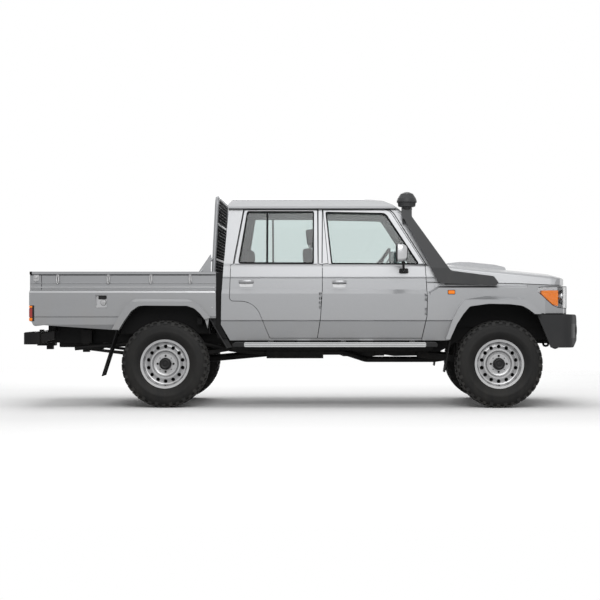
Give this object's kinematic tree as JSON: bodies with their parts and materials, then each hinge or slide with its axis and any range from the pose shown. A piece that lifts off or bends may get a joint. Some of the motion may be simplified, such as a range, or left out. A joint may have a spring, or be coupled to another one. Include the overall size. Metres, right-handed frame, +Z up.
{
  "type": "crew-cab pickup truck",
  "caption": "Crew-cab four-wheel-drive pickup with a flat-sided steel tub, raised air intake, opening doors, bonnet and tailgate, steered front wheels and rolling steel wheels.",
  "frame": {"origin": "on the ground under the middle of the truck's length, on its centre plane", "axes": "+X forward, +Y to the truck's left, +Z up"},
  "size_m": [5.3099, 2.132, 2.052],
  "materials": {
    "silver_paint": "metallic",
    "chassis_black": "satin",
    "cast_metal": "rough",
    "bare_steel": "brushed",
    "light_alloy": "satin",
    "wheel_silver": "satin",
    "dark_plastic": "textured",
    "black_plastic": "matte",
    "rubber_sheet": "matte",
    "tyre_rubber": "matte",
    "window_glass": "clear",
    "lamp_lens": "clear",
    "red_lens": "gloss",
    "grey_trim": "matte",
    "seat_fabric": "woven"
  },
  "bodies": {
    "chassis": {"ladder_frame": "chassis_black", "engine_block": "cast_metal", "gearbox": "cast_metal", "rear_axle": "chassis_black", "rear_springs": "chassis_black", "front_axle": "chassis_black", "front_suspension": "chassis_black", "propeller_shafts": "chassis_black", "exhaust": "bare_steel", "fuel_tank": "black_plastic", "cab_floor": "silver_paint", "body_sides": "silver_paint", "roof_panel": "silver_paint", "cab_back_wall": "silver_paint", "cab_glass": "window_glass", "cowl_panel": "silver_paint", "front_wings": "silver_paint", "inner_wings": "black_plastic", "grille": "silver_paint", "headlamps": "lamp_lens", "radiator": "black_plastic", "front_bumper": "dark_plastic", "snorkel": "black_plastic", "bed_floor": "silver_paint", "bed_sides": "silver_paint", "headboard": "light_alloy", "tail_lamps": "red_lens", "rear_bumper": "chassis_black", "mud_flaps": "rubber_sheet", "rear_guards": "dark_plastic", "side_steps": "light_alloy", "dashboard": "grey_trim", "steering_wheel": "black_plastic", "front_seats": "seat_fabric", "rear_seat": "seat_fabric"},
    "bonnet_lid": {"bonnet": "silver_paint"},
    "tailgate_panel": {"tailgate": "silver_paint"},
    "tie_rod_bar": {"tie_rod": "chassis_black"},
    "front_door_left_body": {"front_door_left": "silver_paint", "front_door_glass_left": "window_glass", "mirror_left": "black_plastic"},
    "rear_door_left_body": {"rear_door_left": "silver_paint", "rear_door_glass_left": "window_glass"},
    "knuckle_left_body": {"knuckle_left": "cast_metal"},
    "wheel_front_left": {"rim_front_left": "wheel_silver", "tyre_front_left": "tyre_rubber"},
    "wheel_rear_left": {"rim_rear_left": "wheel_silver", "tyre_rear_left": "tyre_rubber"},
    "front_door_right_body": {"front_door_right": "silver_paint", "front_door_glass_right": "window_glass", "mirror_right": "black_plastic"},
    "rear_door_right_body": {"rear_door_right": "silver_paint", "rear_door_glass_right": "window_glass"},
    "knuckle_right_body": {"knuckle_right": "cast_metal"},
    "wheel_front_right": {"rim_front_right": "wheel_silver", "tyre_front_right": "tyre_rubber"},
    "wheel_rear_right": {"rim_rear_right": "wheel_silver", "tyre_rear_right": "tyre_rubber"}
  },
  "joints": [
    {"name": "left_steer", "type": "hinge", "parent": "chassis", "child": "knuckle_left_body", "pos_m": [1.88, 0.64, 0.4155], "axis": [0, 0, 1], "range_deg": [-33, 33]},
    {"name": "front_left_spin", "type": "hinge", "parent": "knuckle_left_body", "child": "wheel_front_left", "pos_m": [1.88, 0.7575, 0.4155], "axis": [0, 1, 0], "continuous": true},
    {"name": "rear_left_spin", "type": "hinge", "parent": "chassis", "child": "wheel_rear_left", "pos_m": [-1.3, 0.73, 0.4155], "axis": [0, 1, 0], "continuous": true},
    {"name": "front_door_left_hinge", "type": "hinge", "parent": "chassis", "child": "front_door_left_body", "pos_m": [1.184, 0.848, 1], "axis": [0, 0, -1], "range_deg": [0, 66]},
    {"name": "rear_door_left_hinge", "type": "hinge", "parent": "chassis", "child": "rear_door_left_body", "pos_m": [0.178, 0.848, 1], "axis": [0, 0, -1], "range_deg": [0, 70]},
    {"name": "right_steer", "type": "hinge", "parent": "chassis", "child": "knuckle_right_body", "pos_m": [1.88, -0.64, 0.4155], "axis": [0, 0, 1], "range_deg": [-33, 33]},
    {"name": "front_right_spin", "type": "hinge", "parent": "knuckle_right_body", "child": "wheel_front_right", "pos_m": [1.88, -0.7575, 0.4155], "axis": [0, 1, 0], "continuous": true},
    {"name": "rear_right_spin", "type": "hinge", "parent": "chassis", "child": "wheel_rear_right", "pos_m": [-1.3, -0.73, 0.4155], "axis": [0, 1, 0], "continuous": true},
    {"name": "front_door_right_hinge", "type": "hinge", "parent": "chassis", "child": "front_door_right_body", "pos_m": [1.184, -0.848, 1], "axis": [0, 0, 1], "range_deg": [0, 66]},
    {"name": "rear_door_right_hinge", "type": "hinge", "parent": "chassis", "child": "rear_door_right_body", "pos_m": [0.178, -0.848, 1], "axis": [0, 0, 1], "range_deg": [0, 70]},
    {"name": "tie_rod_pivot", "type": "hinge", "parent": "knuckle_left_body", "child": "tie_rod_bar", "pos_m": [2.045, 0.64, 0.366], "axis": [0, 0, 1], "range_deg": [-33, 33]},
    {"name": "bonnet_hinge", "type": "hinge", "parent": "chassis", "child": "bonnet_lid", "pos_m": [1.334, 0, 1.368], "axis": [0, -1, 0], "range_deg": [0, 50]},
    {"name": "tailgate_hinge", "type": "hinge", "parent": "chassis", "child": "tailgate_panel", "pos_m": [-2.592, 0, 0.858], "axis": [0, -1, 0], "range_deg": [0, 90]}
  ],
  "couplings": [
    {"joint": "right_steer", "follows": "left_steer", "ratio": 1},
    {"joint": "tie_rod_pivot", "follows": "left_steer", "ratio": -1}
  ]
}
